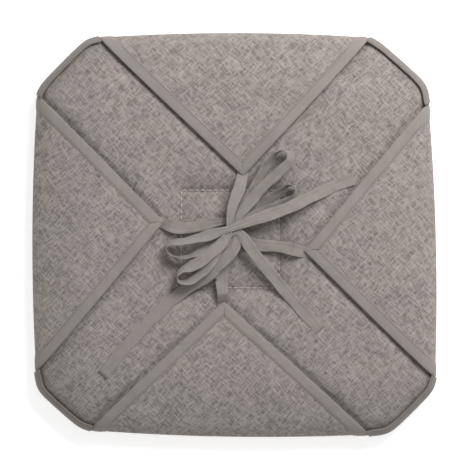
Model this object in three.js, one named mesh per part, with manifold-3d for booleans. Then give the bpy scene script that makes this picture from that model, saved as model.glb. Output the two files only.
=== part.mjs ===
import * as THREE from 'three';
import { mergeVertices } from 'three/addons/utils/BufferGeometryUtils.js';
import Module from 'manifold-3d';

// Chair seat pad, lying seat face down with its four flaps folded over the underside and tied.
// All sizes are in millimetres. +Z is up, away from the seat face, and the pad's middle is at x = y = 0.

// Outline of the closed pad, measured over the folded flaps and the corner bindings.
const padHalf = 180.4;
const cornerPoints = [
  [-175.5, 129], [-129.5, 175.5],
  [123.5, 176], [172.5, 132.5],
  [179.5, -136], [137, -178],
  [-134, -174.5], [-176, -137],
];
const sideSteps = 6;

// Cutting bodies reach well past the pad, and stop at these heights under and over it.
const pastRim = 220;
const under = -40;
const over = 90;

// The stuffed pad.
const seamHeight = 16;
const edgeRun = 50;
const edgeSteps = 6;
const rimBand = 0.4;
const upperRise = 20;
const lowerRise = 14.7;
const clothThick = 1.0;
const gap = 0.3;

// The square of quilting, which pulls both faces in.
const quiltHalf = 43;
const quiltCentre = [-3.5, -4];
const quiltRun = 20;
const quiltDip = 7;
const seatQuiltRun = 8;
const seatQuiltDip = 2.6;
const furrowPast = 6;
const threadThick = 1.0;
const threadLift = 1.05;

// Flaps, bindings and ties. A lay is a height above the stuffed pad's own surface.
const tapeWide = 10;
const flapLay = [2.4, 3.2];
const bindingLay = [1.6, 4.0];
const slotLay = [2.1, 3.5];
const foldWall = 0.8;
const hingeGap = 0.6;
const lipTop = 27;
const tabBottom = 12;
const tieWide = 10;
const tieThick = 0.8;
const tieSteps = 80;

// Each flap: its tip and the two ends of its edges at the rim, in plan.
const flaps = [
  { name: 'top', tip: [8, 51], ends: [[123, 176], [-122.5, 176]] },
  { name: 'left', tip: [-61.5, 11], ends: [[-174, 125], [-172, -121.5]] },
  { name: 'bottom', tip: [-9, -58.5], ends: [[-127.5, -171], [121.5, -177]] },
  { name: 'right', tip: [61.5, -14.5], ends: [[177, -128], [171, 118]] },
];

// Each tie's way from its flap's tip, through the knot, out round its loop, back over the knot and on along its
// tail: x, y, z and the tape's roll in degrees. 0 lies flat, 90 stands on edge and 180 lies flat, turned over.
const ties = [
  { name: 'top', route: [
    [8.2, 60, 40.9, 0], [7.8, 54, 40.9, 0], [6.4, 47, 41.3, 0], [4.2, 39, 42.9, 0], [0.6, 30, 44.6, 0],
    [-2.2, 21.5, 46, 0], [-3.4, 13.5, 46.1, 0], [-4, 5, 46.1, 0], [-7, -3, 46.2, 0], [-12.6, -9.8, 46.6, -6],
    [-20, -16, 47.2, -10], [-28, -22.8, 47.6, -12], [-36.5, -27.4, 47, -26], [-44.3, -30.2, 46, -56],
    [-49.3, -35, 45.6, -82], [-48.2, -40.4, 45.4, -98], [-41.6, -41.4, 45.4, -118], [-33.2, -37.4, 45, -138],
    [-26, -31, 44.7, -152], [-20.4, -23.4, 44.6, -166], [-15.2, -14.8, 44.8, -178], [-9.6, -6, 44.8, -180],
    [-3.6, 0.8, 44.8, -180], [3.2, 2.6, 44.8, -180], [8.2, -2, 44.8, -180], [12.6, -9, 44.2, -180],
    [20, -19.2, 42.6, -180], [30, -31.4, 40.4, -180], [40, -43.6, 38.8, -180], [50, -55.4, 38.2, -180],
    [62, -69, 38.2, -180], [75, -84, 38.2, -180],
  ] },
  { name: 'left', route: [
    [-68, 11.6, 40.9, 0], [-61.5, 9.8, 40.9, 0], [-54.5, 7, 40.3, 0], [-47, 5.8, 39, 0], [-38, 6.2, 38.4, 0],
    [-29, 8, 38.3, 0], [-20, 10, 38.8, 0], [-11, 11.2, 39.7, 0], [-3, 12, 39.8, 0], [5, 15, 39.5, 0],
    [14, 19.4, 39.2, 0], [23.6, 24.8, 39.7, -6], [32.4, 31.8, 41.6, -40], [40.6, 38.8, 42.9, -66],
    [47.6, 42.8, 43, -80], [52.8, 41.4, 43, -94], [53.8, 36.4, 43, -106], [50, 31, 42.6, -122],
    [42, 26.4, 42, -142], [31, 21.8, 41.8, -158], [19, 16.6, 41.6, -174], [9.4, 11, 41.8, -180], [2.4, 5, 42.4, -180],
    [0, -3, 42.4, -180], [-3, -11, 41.9, -180], [-7.5, -20, 40.9, -180], [-13, -28.5, 40, -180],
    [-18.6, -37, 39.4, -180],
  ] },
  { name: 'bottom', route: [
    [-9.2, -66, 40.9, 0], [-9.4, -60, 40.9, 0], [-9.8, -53, 40.4, 0], [-10.6, -45, 39, 0], [-11, -37, 38.3, 0],
    [-9.4, -28, 38.2, 0], [-6.4, -18, 39.3, 0], [-3.6, -8, 41, 0], [-1.6, 2, 41.2, 0], [0.4, 10, 41.1, 0],
    [5, 19, 40.9, 0], [11.4, 29, 40.6, 0], [17.8, 39.6, 41.6, -20], [22.5, 50, 42.9, -38], [28, 60, 44, -50],
    [34.5, 68.5, 45.2, -66], [41.5, 73, 46.4, -88], [48.2, 71.4, 47.2, -112], [49.6, 65.6, 47.7, -134],
    [43.5, 58.5, 47.8, -146], [34, 49.5, 47.4, -150], [23.5, 39.5, 46.6, -154], [13.4, 28, 45, -166],
    [5.9, 17.6, 43.9, -178], [2.4, 8, 43.6, -180], [3.4, -1, 43.6, -180], [1.6, -10, 43.4, -180],
    [-5.4, -19, 42.8, -180], [-14, -27.5, 42, -180], [-22, -35.5, 40.8, -180], [-32, -42, 39.4, -180],
    [-45, -50, 38.4, -180], [-58, -61, 38.2, -180], [-75, -77, 38.2, -180], [-95, -99, 38.2, -180],
    [-115, -123, 38.2, -180],
  ] },
  { name: 'right', route: [
    [68, -15.8, 40.9, 0], [61.5, -15.4, 40.9, 0], [54, -13.6, 40.3, 0], [45, -11.4, 39, 0], [35, -10, 38.3, 0],
    [25, -9.6, 38.2, 0], [15, -7.8, 38.2, 0], [6, -4, 38.5, 0], [-3, -1.4, 38.7, 0], [-12, -4, 39.2, -8],
    [-20, -9, 40.4, -22], [-28, -14, 41.2, -42], [-36, -18, 42.3, -66], [-44, -20.2, 42.9, -78],
    [-51.5, -19.6, 43, -86], [-57.4, -15.8, 43.2, -92], [-59.4, -11, 43.6, -100], [-55, -7.6, 44, -112],
    [-46, -6, 44.2, -122], [-35, -4, 44.6, -134], [-24, -1.2, 45.8, -158], [-14, 2, 47.1, -180],
    [-5, 4.8, 47.7, -180], [4, 8, 47.7, -180], [16, 12.2, 47.4, -180], [30, 17, 47.3, -180],
    [43, 21.6, 47.3, -180], [54, 26.4, 46.4, -180], [64, 31.2, 44.2, -180], [74, 36, 41.4, -180],
    [84, 40.6, 39, -180], [94, 44.8, 38.2, -180], [105, 49, 38.2, -180],
  ] },
];

const wasm = await Module();
wasm.setup();

function solid(geometry) {
  const plain = geometry.clone();
  plain.deleteAttribute('normal');
  plain.deleteAttribute('uv');
  const merged = mergeVertices(plain, 1e-4);
  const mesh = new wasm.Mesh({
    numProp: 3,
    vertProperties: new Float32Array(merged.attributes.position.array),
    triVerts: new Uint32Array(merged.index.array),
  });
  return new wasm.Manifold(mesh);
}

function geometryOf(body) {
  const mesh = body.getMesh();
  const geometry = new THREE.BufferGeometry();
  geometry.setAttribute('position', new THREE.BufferAttribute(mesh.vertProperties, 3));
  geometry.setIndex(new THREE.BufferAttribute(mesh.triVerts, 1));
  geometry.computeVertexNormals();
  return geometry;
}

function shapeOf(points) {
  return new THREE.Shape(points.map((p) => new THREE.Vector2(p[0], p[1])));
}

// An upright prism on a plan outline.
function prism(points, low, high) {
  const geometry = new THREE.ExtrudeGeometry(shapeOf(points), { depth: high - low, bevelEnabled: false });
  geometry.translate(0, 0, low);
  return solid(geometry);
}

function slab(low, high) {
  const geometry = new THREE.BoxGeometry(2.5 * pastRim, 2.5 * pastRim, high - low);
  geometry.translate(0, 0, (high + low) / 2);
  return solid(geometry);
}

function unit(a, b) {
  const length = Math.hypot(b[0] - a[0], b[1] - a[1]);
  return [(b[0] - a[0]) / length, (b[1] - a[1]) / length];
}

function along(point, direction, distance) {
  return [point[0] + direction[0] * distance, point[1] + direction[1] * distance];
}

// Where the line through a along u meets the line through b along v.
function meeting(a, u, b, v) {
  const cross = u[0] * v[1] - u[1] * v[0];
  const t = ((b[0] - a[0]) * v[1] - (b[1] - a[1]) * v[0]) / cross;
  return along(a, u, t);
}

// Each side bows out to the pad's half width between its two corners.
function outline() {
  const points = [];
  for (let i = 0; i < 8; i += 1) {
    const a = cornerPoints[i];
    const b = cornerPoints[(i + 1) % 8];
    points.push(a);
    if (i % 2 === 1) {
      const across = Math.abs(a[0] - b[0]) > Math.abs(a[1] - b[1]) ? 1 : 0;
      const middle = [(a[0] + b[0]) / 2, (a[1] + b[1]) / 2];
      middle[across] = 2 * Math.sign(middle[across]) * padHalf - middle[across];
      const start = new THREE.Vector2(a[0], a[1]);
      const handle = new THREE.Vector2(middle[0], middle[1]);
      const end = new THREE.Vector2(b[0], b[1]);
      const curve = new THREE.QuadraticBezierCurve(start, handle, end);
      curve.getPoints(sideSteps).slice(1, -1).forEach((p) => points.push([p.x, p.y]));
    }
  }
  return points;
}

// A convex outline, listed clockwise, moved in by a distance.
function inset(points, distance) {
  const count = points.length;
  return points.map((p, i) => {
    const before = unit(points[(i + count - 1) % count], p);
    const after = unit(p, points[(i + 1) % count]);
    const a = along(p, [before[1], -before[0]], distance);
    const b = along(p, [after[1], -after[0]], distance);
    return meeting(a, before, b, after);
  });
}

const crownPlan = inset(outline(), edgeRun + bindingLay[1]);

// Half of the stuffed pad's form, grown by a lay: a flat crown that rounds down to the seam.
function halfForm(lay, rise) {
  const geometry = new THREE.ExtrudeGeometry(shapeOf(crownPlan), {
    depth: rimBand,
    bevelThickness: rise + lay - rimBand / 2,
    bevelSize: edgeRun + lay,
    bevelSegments: edgeSteps,
  });
  geometry.translate(0, 0, seamHeight - rimBand / 2);
  return solid(geometry);
}

// A square furrow along the quilting line, with its point at a height and opening up or down.
function furrow(point, run, dip, up) {
  const reach = dip + furrowPast;
  const wide = (run * reach) / dip;
  const profile = [
    new THREE.Vector2(quiltHalf, point),
    new THREE.Vector2(quiltHalf + wide, point + up * reach),
    new THREE.Vector2(quiltHalf - wide, point + up * reach),
    new THREE.Vector2(quiltHalf, point),
  ];
  if (up < 0) profile.reverse();
  return squareRing(profile);
}

function squareRing(profile) {
  const stretched = profile.map((p) => new THREE.Vector2(p.x * Math.SQRT2, p.y));
  const geometry = new THREE.LatheGeometry(stretched, 4);
  geometry.rotateY(Math.PI / 4);
  geometry.rotateX(Math.PI / 2);
  geometry.translate(quiltCentre[0], quiltCentre[1], 0);
  return solid(geometry);
}

const above = slab(seamHeight, over);
const below = slab(under, seamHeight);

function upperForm(lay) {
  return halfForm(lay, upperRise).intersect(above);
}

function lowerForm(lay) {
  return halfForm(lay, lowerRise).intersect(below);
}

function quiltedUpper(lay) {
  const point = seamHeight + upperRise - quiltDip + lay;
  return upperForm(lay).subtract(furrow(point, quiltRun, quiltDip, 1));
}

function quiltedLower(lay) {
  const point = seamHeight - lowerRise + seatQuiltDip - lay;
  return lowerForm(lay).subtract(furrow(point, seatQuiltRun, seatQuiltDip, -1));
}

function layer(low, high) {
  return halfForm(high, upperRise).subtract(halfForm(low, upperRise));
}

// The plan of a flap, with its two edges moved in and run on past the rim.
function flapPlan(flap, margin) {
  const [tip, a, b] = [flap.tip, flap.ends[0], flap.ends[1]];
  const u = unit(tip, a);
  const v = unit(tip, b);
  const start = along(tip, [-u[1], u[0]], margin);
  const other = along(tip, [v[1], -v[0]], margin);
  const corner = meeting(start, u, other, v);
  return [corner, along(corner, u, pastRim), along(corner, v, pastRim)];
}

// The band along one edge of a flap, mitred at the tip.
function bandPlan(flap, side) {
  const outer = flapPlan(flap, 0);
  const inner = flapPlan(flap, tapeWide);
  const far = side + 1;
  const away = unit(outer[0], outer[far]);
  const cut = gap / 2 / Math.sin(Math.PI / 4);
  return [along(outer[0], away, cut), outer[far], inner[far], along(inner[0], away, cut)];
}

// The corner between two neighbouring flaps, as far in as the bindings reach.
function cornerPlan(flap, next) {
  const a = flapPlan(flap, -gap);
  const b = flapPlan(next, -gap);
  return [a[2], a[0], b[0], b[1]];
}

// A tape's route through points with a roll. The tape's width is level at roll 0, and a positive roll lifts the
// edge on the right of its way.
class TapeRoute extends THREE.CatmullRomCurve3 {
  constructor(route) {
    super(route.map(([x, y, z]) => new THREE.Vector3(x, y, z)), false, 'centripetal');
    this.rolls = route.map((p) => THREE.MathUtils.degToRad(p[3]));
  }

  getSpacedPoints(count) {
    return this.getPoints(count);
  }

  rollAt(t) {
    const place = t * (this.rolls.length - 1);
    const before = Math.min(Math.floor(place), this.rolls.length - 2);
    return THREE.MathUtils.lerp(this.rolls[before], this.rolls[before + 1], place - before);
  }

  computeFrenetFrames(count) {
    const tangents = [];
    const normals = [];
    const binormals = [];
    const up = new THREE.Vector3(0, 0, 1);
    for (let i = 0; i <= count; i += 1) {
      const tangent = this.getTangent(i / count);
      const width = new THREE.Vector3().crossVectors(tangent, up).normalize();
      width.applyAxisAngle(tangent, -this.rollAt(i / count));
      tangents.push(tangent);
      binormals.push(width);
      normals.push(new THREE.Vector3().crossVectors(width, tangent));
    }
    return { tangents, normals, binormals };
  }
}

const group = new THREE.Group();
group.name = 'chair_seat_pad';

function add(name, body, colour, roughness) {
  const geometry = body instanceof THREE.BufferGeometry ? body : geometryOf(body);
  const material = new THREE.MeshStandardMaterial({ color: colour, roughness, metalness: 0 });
  const mesh = new THREE.Mesh(geometry, material);
  mesh.name = name;
  group.add(mesh);
}

// Filling and the two faces of the pad. The seat panel has a tab up inside each corner binding.
const clothTop = gap + clothThick;
add('filling', quiltedUpper(0).add(quiltedLower(0)), '#e6e2da', 1);

const underside = quiltedUpper(clothTop).subtract(quiltedUpper(gap));
add('underside_panel', underside.intersect(slab(seamHeight + gap / 2, over)), '#9c948e', 0.95);

const corners = flaps.map((flap, i) => prism(cornerPlan(flap, flaps[(i + 1) % 4]), under, over));
let seat = quiltedLower(clothTop).subtract(quiltedLower(gap)).intersect(slab(under, seamHeight - gap / 2));
const tabFoot = lowerForm(flapLay[1]).subtract(lowerForm(gap)).intersect(slab(tabBottom, seamHeight - gap / 2));
const tab = layer(...flapLay).intersect(slab(seamHeight - 0.5, lipTop - foldWall - gap));
corners.forEach((corner) => {
  seat = seat.add(tabFoot.intersect(corner)).add(tab.intersect(corner));
});
add('seat_panel', seat, '#9c948e', 0.95);

function threadRing(middle) {
  const half = threadThick / 2;
  return squareRing([
    new THREE.Vector2(quiltHalf - half, middle - half),
    new THREE.Vector2(quiltHalf + half, middle - half),
    new THREE.Vector2(quiltHalf + half, middle + half),
    new THREE.Vector2(quiltHalf - half, middle + half),
    new THREE.Vector2(quiltHalf - half, middle - half),
  ]);
}

const threadOver = seamHeight + upperRise - quiltDip + clothTop + threadLift;
const threadUnder = seamHeight - lowerRise + seatQuiltDip - clothTop - threadLift;
add('quilting_thread_underside', threadRing(threadOver), '#b9b1a6', 0.8);
add('quilting_thread_seat', threadRing(threadUnder), '#b9b1a6', 0.8);

// Bias tape folded over the edge of each corner tab.
const cornerNames = ['top_left', 'bottom_left', 'bottom_right', 'top_right'];
const lipOuter = layer(...bindingLay).intersect(slab(seamHeight + gap, lipTop));
const lip = lipOuter.subtract(layer(...slotLay).intersect(slab(under, lipTop - foldWall)));
corners.forEach((corner, i) => {
  add(`corner_binding_${cornerNames[i]}`, lip.intersect(corner), '#96908a', 0.85);
});

// Each flap's cloth, the tape folded over its two edges, and its tie.
const overHinge = slab(seamHeight + hingeGap, over);
const flapCloth = layer(...flapLay).intersect(overHinge);
const tape = layer(...bindingLay).intersect(overHinge);
const fold = layer(...slotLay);
const tieSection = shapeOf([
  [-tieThick / 2, -tieWide / 2], [tieThick / 2, -tieWide / 2],
  [tieThick / 2, tieWide / 2], [-tieThick / 2, tieWide / 2],
]);
flaps.forEach((flap) => {
  const cloth = flapCloth.intersect(prism(flapPlan(flap, foldWall + gap), under, over));
  add(`${flap.name}_flap`, cloth, '#9b9288', 0.95);
  const slot = fold.intersect(prism(flapPlan(flap, foldWall), under, over));
  [0, 1].forEach((side) => {
    const band = tape.intersect(prism(bandPlan(flap, side), under, over)).subtract(slot);
    add(`${flap.name}_flap_binding_${side + 1}`, band, '#96908a', 0.85);
  });
});
ties.forEach((tie) => {
  const extrudePath = new TapeRoute(tie.route);
  const geometry = new THREE.ExtrudeGeometry(tieSection, { steps: tieSteps, extrudePath });
  add(`${tie.name}_tie`, geometry, '#968f87', 0.85);
});

export default group;
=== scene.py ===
import math

import bpy
import numpy as np
from bpy.props import FloatProperty, FloatVectorProperty, IntProperty, PointerProperty
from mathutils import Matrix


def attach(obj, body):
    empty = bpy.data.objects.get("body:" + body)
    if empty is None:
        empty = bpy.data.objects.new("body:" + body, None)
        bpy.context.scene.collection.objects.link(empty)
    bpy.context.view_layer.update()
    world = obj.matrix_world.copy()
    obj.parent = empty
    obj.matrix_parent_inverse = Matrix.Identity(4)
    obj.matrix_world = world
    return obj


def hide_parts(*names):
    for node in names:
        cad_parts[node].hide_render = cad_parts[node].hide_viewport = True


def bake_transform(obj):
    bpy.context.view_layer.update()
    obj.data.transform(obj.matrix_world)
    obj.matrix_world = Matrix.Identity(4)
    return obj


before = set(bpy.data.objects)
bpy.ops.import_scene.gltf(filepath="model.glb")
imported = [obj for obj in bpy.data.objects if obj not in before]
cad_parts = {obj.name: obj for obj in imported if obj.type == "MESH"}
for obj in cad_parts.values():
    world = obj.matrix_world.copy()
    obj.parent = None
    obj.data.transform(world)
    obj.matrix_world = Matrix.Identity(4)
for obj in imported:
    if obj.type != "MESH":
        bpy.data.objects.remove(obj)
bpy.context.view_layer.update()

bl_info = {
    "name": "Tie-on chair seat pad",
    "version": (1, 0, 0),
    "blender": (4, 5, 0),
    "location": "View3D > Sidebar > Seat Pad",
    "description": "Makes a quilted chair pad with four tied flaps, bound edges and a bow",
    "category": "Object",
}

MM = 0.001

# The pad's outline at the filling: eight sides between these corners, clockwise from the top left, the long ones bowed.
CORNERS = np.array([(-175.5, 129), (-129.5, 175.5), (123.5, 176), (172.5, 132.5),
                    (179.5, -136), (137, -178), (-134, -174.5), (-176, -137)]) * MM
LIP_OUT = 4 * MM
NEXT = np.roll(CORNERS, -1, axis=0)
HALF = np.linalg.norm(NEXT - CORNERS, axis=1) / 2
ALONG = (NEXT - CORNERS) / (2 * HALF[:, None])
OUTWARD = np.stack([-ALONG[:, 1], ALONG[:, 0]], 1)
MIDDLE = ((NEXT + CORNERS) / 2 * ALONG).sum(1)
REACH = (CORNERS * OUTWARD).sum(1) - LIP_OUT
BOW = np.where(HALF > 80 * MM, 4.6 * MM, 0.3 * MM)
CORNER_SOFTNESS = 2.5 * MM

# The section through the pad's edge: a quarter ellipse above the seam and one below it.
SEAM = 16 * MM
EDGE_RUN = 50 * MM
UPPER_RISE = 20 * MM
LOWER_RISE = 14.7 * MM
CLOTH_LAY = 1.3 * MM
FLAP_LAY = (2.3 * MM, 3.2 * MM)

QUILT_HALF = 43 * MM
QUILT_CENTRE = np.array([-3.5, -4]) * MM
KNOT = np.array([-2, 8]) * MM

# The most that the simulation may swell the pad's faces out, and draw them in.
SWELL_OUT = 1.5 * MM
SWELL_IN = 1.5 * MM

# Each flap's tip, and its two ends on the pad's edge.
FLAPS = {
    "top": ((8, 51), (123, 176), (-122.5, 176)),
    "left": ((-61.5, 11), (-174, 125), (-172, -121.5)),
    "bottom": ((-9, -58.5), (-127.5, -171), (121.5, -177)),
    "right": ((61.5, -14.5), (177, -128), (171, 118)),
}
CORNER_BETWEEN = {
    "top_left": ("left", 1, "top", 2),
    "top_right": ("top", 1, "right", 2),
    "bottom_right": ("right", 1, "bottom", 2),
    "bottom_left": ("bottom", 1, "left", 2),
}

# Each tie's way from its flap's tip, through the knot, out round its loop, back over the knot and on along its
# tail: x, y, z in metres and the tape's roll in degrees. 0 lies flat, 90 stands on edge, 180 lies flat again.
TIES = {
    "top": [
        (0.0082, 0.06, 0.0409, 0), (0.0078, 0.054, 0.0409, 0), (0.0064, 0.047, 0.0413, 0),
        (0.0042, 0.039, 0.0429, 0), (0.0006, 0.03, 0.0446, 0), (-0.0022, 0.0215, 0.046, 0),
        (-0.0034, 0.0135, 0.0461, 0), (-0.004, 0.005, 0.0461, 0), (-0.007, -0.003, 0.0462, 0),
        (-0.0126, -0.0098, 0.0466, -6), (-0.02, -0.016, 0.0472, -10), (-0.028, -0.0228, 0.0476, -12),
        (-0.0365, -0.0274, 0.047, -26), (-0.0443, -0.0302, 0.046, -56), (-0.0493, -0.035, 0.0456, -82),
        (-0.0482, -0.0404, 0.0454, -98), (-0.0416, -0.0414, 0.0454, -118), (-0.0332, -0.0374, 0.045, -138),
        (-0.026, -0.031, 0.0447, -152), (-0.0204, -0.0234, 0.0446, -166), (-0.0152, -0.0148, 0.0448, -178),
        (-0.0096, -0.006, 0.0448, -180), (-0.0036, 0.0008, 0.0448, -180), (0.0032, 0.0026, 0.0448, -180),
        (0.0082, -0.002, 0.0448, -180), (0.0126, -0.009, 0.0442, -180), (0.02, -0.0192, 0.0426, -180),
        (0.03, -0.0314, 0.0404, -180), (0.04, -0.0436, 0.0388, -180), (0.05, -0.0554, 0.0382, -180),
        (0.062, -0.069, 0.0382, -180), (0.075, -0.084, 0.0382, -180),
    ],
    "left": [
        (-0.068, 0.0116, 0.0409, 0), (-0.0615, 0.0098, 0.0409, 0), (-0.0545, 0.007, 0.0403, 0),
        (-0.047, 0.0058, 0.039, 0), (-0.038, 0.0062, 0.0384, 0), (-0.029, 0.008, 0.0383, 0),
        (-0.02, 0.01, 0.0388, 0), (-0.011, 0.0112, 0.0397, 0), (-0.003, 0.012, 0.0398, 0),
        (0.005, 0.015, 0.0395, 0), (0.014, 0.0194, 0.0392, 0), (0.0236, 0.0248, 0.0397, -6),
        (0.0324, 0.0318, 0.0416, -40), (0.0406, 0.0388, 0.0429, -66), (0.0476, 0.0428, 0.043, -80),
        (0.0528, 0.0414, 0.043, -94), (0.0538, 0.0364, 0.043, -106), (0.05, 0.031, 0.0426, -122),
        (0.042, 0.0264, 0.042, -142), (0.031, 0.0218, 0.0418, -158), (0.019, 0.0166, 0.0416, -174),
        (0.0094, 0.011, 0.0418, -180), (0.0024, 0.005, 0.0424, -180), (0, -0.003, 0.0424, -180),
        (-0.003, -0.011, 0.0419, -180), (-0.0075, -0.02, 0.0409, -180), (-0.013, -0.0285, 0.04, -180),
        (-0.0186, -0.037, 0.0394, -180),
    ],
    "bottom": [
        (-0.0092, -0.066, 0.0409, 0), (-0.0094, -0.06, 0.0409, 0), (-0.0098, -0.053, 0.0404, 0),
        (-0.0106, -0.045, 0.039, 0), (-0.011, -0.037, 0.0383, 0), (-0.0094, -0.028, 0.0382, 0),
        (-0.0064, -0.018, 0.0393, 0), (-0.0036, -0.008, 0.041, 0), (-0.0016, 0.002, 0.0412, 0),
        (0.0004, 0.01, 0.0411, 0), (0.005, 0.019, 0.0409, 0), (0.0114, 0.029, 0.0406, 0),
        (0.0178, 0.0396, 0.0416, -20), (0.0225, 0.05, 0.0429, -38), (0.028, 0.06, 0.044, -50),
        (0.0345, 0.0685, 0.0452, -66), (0.0415, 0.073, 0.0464, -88), (0.0482, 0.0714, 0.0472, -112),
        (0.0496, 0.0656, 0.0477, -134), (0.0435, 0.0585, 0.0478, -146), (0.034, 0.0495, 0.0474, -150),
        (0.0235, 0.0395, 0.0466, -154), (0.0134, 0.028, 0.045, -166), (0.0059, 0.0176, 0.0439, -178),
        (0.0024, 0.008, 0.0436, -180), (0.0034, -0.001, 0.0436, -180), (0.0016, -0.01, 0.0434, -180),
        (-0.0054, -0.019, 0.0428, -180), (-0.014, -0.0275, 0.042, -180), (-0.022, -0.0355, 0.0408, -180),
        (-0.032, -0.042, 0.0394, -180), (-0.045, -0.05, 0.0384, -180), (-0.058, -0.061, 0.0382, -180),
        (-0.075, -0.077, 0.0382, -180), (-0.095, -0.099, 0.0382, -180), (-0.115, -0.123, 0.0382, -180),
    ],
    "right": [
        (0.068, -0.0158, 0.0409, 0), (0.0615, -0.0154, 0.0409, 0), (0.054, -0.0136, 0.0403, 0),
        (0.045, -0.0114, 0.039, 0), (0.035, -0.01, 0.0383, 0), (0.025, -0.0096, 0.0382, 0),
        (0.015, -0.0078, 0.0382, 0), (0.006, -0.004, 0.0385, 0), (-0.003, -0.0014, 0.0387, 0),
        (-0.012, -0.004, 0.0392, -8), (-0.02, -0.009, 0.0404, -22), (-0.028, -0.014, 0.0412, -42),
        (-0.036, -0.018, 0.0423, -66), (-0.044, -0.0202, 0.0429, -78), (-0.0515, -0.0196, 0.043, -86),
        (-0.0574, -0.0158, 0.0432, -92), (-0.0594, -0.011, 0.0436, -100), (-0.055, -0.0076, 0.044, -112),
        (-0.046, -0.006, 0.0442, -122), (-0.035, -0.004, 0.0446, -134), (-0.024, -0.0012, 0.0458, -158),
        (-0.014, 0.002, 0.0471, -180), (-0.005, 0.0048, 0.0477, -180), (0.004, 0.008, 0.0477, -180),
        (0.016, 0.0122, 0.0474, -180), (0.03, 0.017, 0.0473, -180), (0.043, 0.0216, 0.0473, -180),
        (0.054, 0.0264, 0.0464, -180), (0.064, 0.0312, 0.0442, -180), (0.074, 0.036, 0.0414, -180),
        (0.084, 0.0406, 0.039, -180), (0.094, 0.0448, 0.0382, -180), (0.105, 0.049, 0.0382, -180),
    ],
}


def smooth(t):
    """The smoothstep of t: 0 below 0, 1 above 1 and 3t^2 - 2t^3 between."""
    t = np.clip(t, 0, 1)
    return t * t * (3 - 2 * t)


def ripple(x, y, size, seed):
    """A soft random relief of about -1 to 1: the sum of seven sine waves of about the given length, each with its
    own direction and phase."""
    draw = np.random.default_rng(seed)
    total = 0
    for _ in range(7):
        turn = draw.uniform(0, 2 * math.pi)
        length = size * draw.uniform(0.7, 1.6)
        total = total + np.sin((x * math.cos(turn) + y * math.sin(turn)) * 2 * math.pi / length
                               + draw.uniform(0, 2 * math.pi))
    return total / 3.2


def rim(x, y):
    """The distance inside the pad's outline and the way out to it: a soft minimum over the distances to its eight
    sides, with each long side bowed by a parabola."""
    point = np.stack(np.broadcast_arrays(x, y), -1)
    along = (point @ ALONG.T - MIDDLE) / HALF
    inside = REACH + BOW * np.clip(1 - along**2, 0, 1) - point @ OUTWARD.T
    nearest = inside.min(-1, keepdims=True)
    share = np.exp((nearest - inside) / CORNER_SOFTNESS)
    total = share.sum(-1, keepdims=True)
    way = (share / total) @ OUTWARD
    way /= np.linalg.norm(way, axis=-1, keepdims=True)
    distance = (nearest - CORNER_SOFTNESS * np.log(total))[..., 0]
    return distance, way[..., 0], way[..., 1]


def plan(turn, depth):
    """The point at the given depth inside the outline, on the ray at this angle from the middle: the radius moves by
    the error of its depth until it fits."""
    dx, dy = np.cos(turn), np.sin(turn)
    radius = 0.17 + 0 * (turn + depth)
    for _ in range(12):
        distance, nx, ny = rim(radius * dx, radius * dy)
        radius = np.maximum(radius + (distance - depth) / np.maximum(nx * dx + ny * dy, 0.3), 0)
    return radius * dx, radius * dy


def on_pad(x, y, lay, relief=0, lower=False):
    """The point of the pad's surface over a point of its plan, moved out by lay along the normal: height is the seam
    plus the rise times the sine, where the cosine is one less the depth over the edge's run."""
    depth, nx, ny = rim(x, y)
    cosine = np.clip(1 - depth / EDGE_RUN, 0, 1)
    sine = np.sqrt(1 - cosine**2)
    rise = LOWER_RISE if lower else UPPER_RISE
    norm = np.hypot(rise * cosine, EDGE_RUN * sine)
    up = rise * sine + lay * EDGE_RUN * sine / norm + relief * smooth(depth / (25 * MM))
    out = lay * rise * cosine / norm
    return np.stack([x + nx * out, y + ny * out, SEAM - up if lower else SEAM + up], -1)


def laid_flat(x, y):
    """Where a point of the surface lies on the cloth laid flat: the plan, moved out over the edge by the extra length
    of the quarter ellipse, which comes in as one less the sine to the power 1.8."""
    depth, nx, ny = rim(x, y)
    sine = np.sqrt(1 - np.clip(1 - depth / EDGE_RUN, 0, 1) ** 2)
    extra = 0.172 * EDGE_RUN * (1 - sine) ** 1.8
    return np.stack([x + nx * extra, y + ny * extra], -1)


def quilt_distance(x, y):
    """The distance from the stitched square's lines."""
    qx = np.abs(x - QUILT_CENTRE[0]) - QUILT_HALF
    qy = np.abs(y - QUILT_CENTRE[1]) - QUILT_HALF
    outside = np.hypot(np.maximum(qx, 0), np.maximum(qy, 0))
    return np.where((qx < 0) & (qy < 0), -np.maximum(qx, qy), outside)


def flap_distance(x, y):
    """The distance from the nearest flap's slanting edges."""
    nearest = np.full(np.shape(x), 1.0)
    for tip, first, second in FLAPS.values():
        tip = np.array(tip) * MM
        for end in (first, second):
            run = np.array(end) * MM - tip
            share = np.clip(((x - tip[0]) * run[0] + (y - tip[1]) * run[1]) / (run @ run), 0, 1)
            nearest = np.minimum(nearest, np.hypot(x - tip[0] - share * run[0], y - tip[1] - share * run[1]))
    return nearest


def pad_relief(x, y, lower=False):
    """How far the quilting and the flaps' edges pull the pad's faces in, and how unevenly the filling lies."""
    quilt = quilt_distance(x, y)
    if lower:
        return -1.7 * MM * np.exp(-(quilt / (9 * MM)) ** 2) - 0.8 * MM * np.exp(-quilt / (2.5 * MM))
    square = np.maximum(np.abs(x - QUILT_CENTRE[0]), np.abs(y - QUILT_CENTRE[1])) < QUILT_HALF
    sunk = np.where(square, 8.4 * MM - 2.6 * MM * smooth(quilt / (18 * MM)), 8.4 * MM * np.exp(-quilt / (8 * MM)))
    pressed = 1.7 * MM * np.exp(-(flap_distance(x, y) / (8 * MM)) ** 2)
    return -sunk - pressed - SWELL_OUT + 0.35 * MM * ripple(x, y, 60 * MM, 3)


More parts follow.
